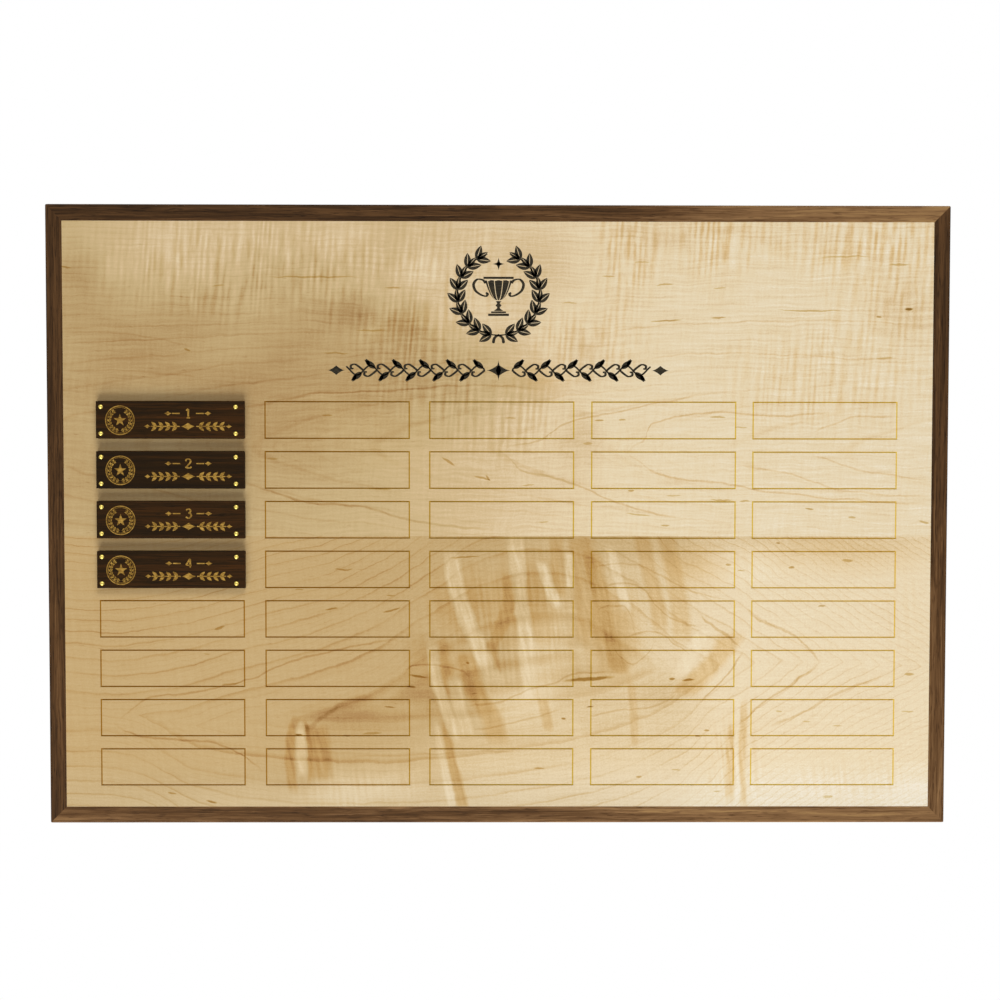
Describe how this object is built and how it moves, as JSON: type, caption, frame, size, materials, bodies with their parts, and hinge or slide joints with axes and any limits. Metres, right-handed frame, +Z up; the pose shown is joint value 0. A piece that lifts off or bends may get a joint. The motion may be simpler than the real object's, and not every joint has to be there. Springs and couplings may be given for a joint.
{
  "type": "perpetual plaque",
  "caption": "Wall-hung award plaque: a pale wood panel edged in dark wood, engraved with rows of blank outlines, with pinned name plates and keyhole hangers in its back.",
  "frame": {"origin": "midway between the entry holes of the two keyhole hangers, on the plane of the plaque's back", "axes": "+X along the plaque's length, to the viewer's right; +Z up as it hangs; the front faces -Y and the wall is on the +Y side"},
  "size_m": [0.6096, 0.0272, 0.4191],
  "materials": {
    "maple": "curly maple, sanded and clear satin lacquer",
    "walnut_edging": "black walnut, clear satin lacquer",
    "walnut_plate": "dark stained walnut, engraved and filled with gold",
    "beech": "compressed beech, raw",
    "brass": "polished brass",
    "plated_steel": "zinc plated",
    "bumper_rubber": "matte moulded"
  },
  "bodies": {
    "root": {"board_biscuits": "beech", "edge_strip_bottom": "walnut_edging", "edge_strip_left": "walnut_edging", "edge_strip_right": "walnut_edging", "edge_strip_top": "walnut_edging", "hanger_screws_left": "plated_steel", "hanger_screws_right": "plated_steel", "keyhole_hanger_left": "plated_steel", "keyhole_hanger_right": "plated_steel", "maple_board_lower": "maple", "maple_board_upper": "maple", "name_plate_1": "walnut_plate", "name_plate_2": "walnut_plate", "name_plate_3": "walnut_plate", "name_plate_4": "walnut_plate", "plate_pins_1": "brass", "plate_pins_2": "brass", "plate_pins_3": "brass", "plate_pins_4": "brass", "wall_bumpers": "bumper_rubber"}
  },
  "joints": []
}
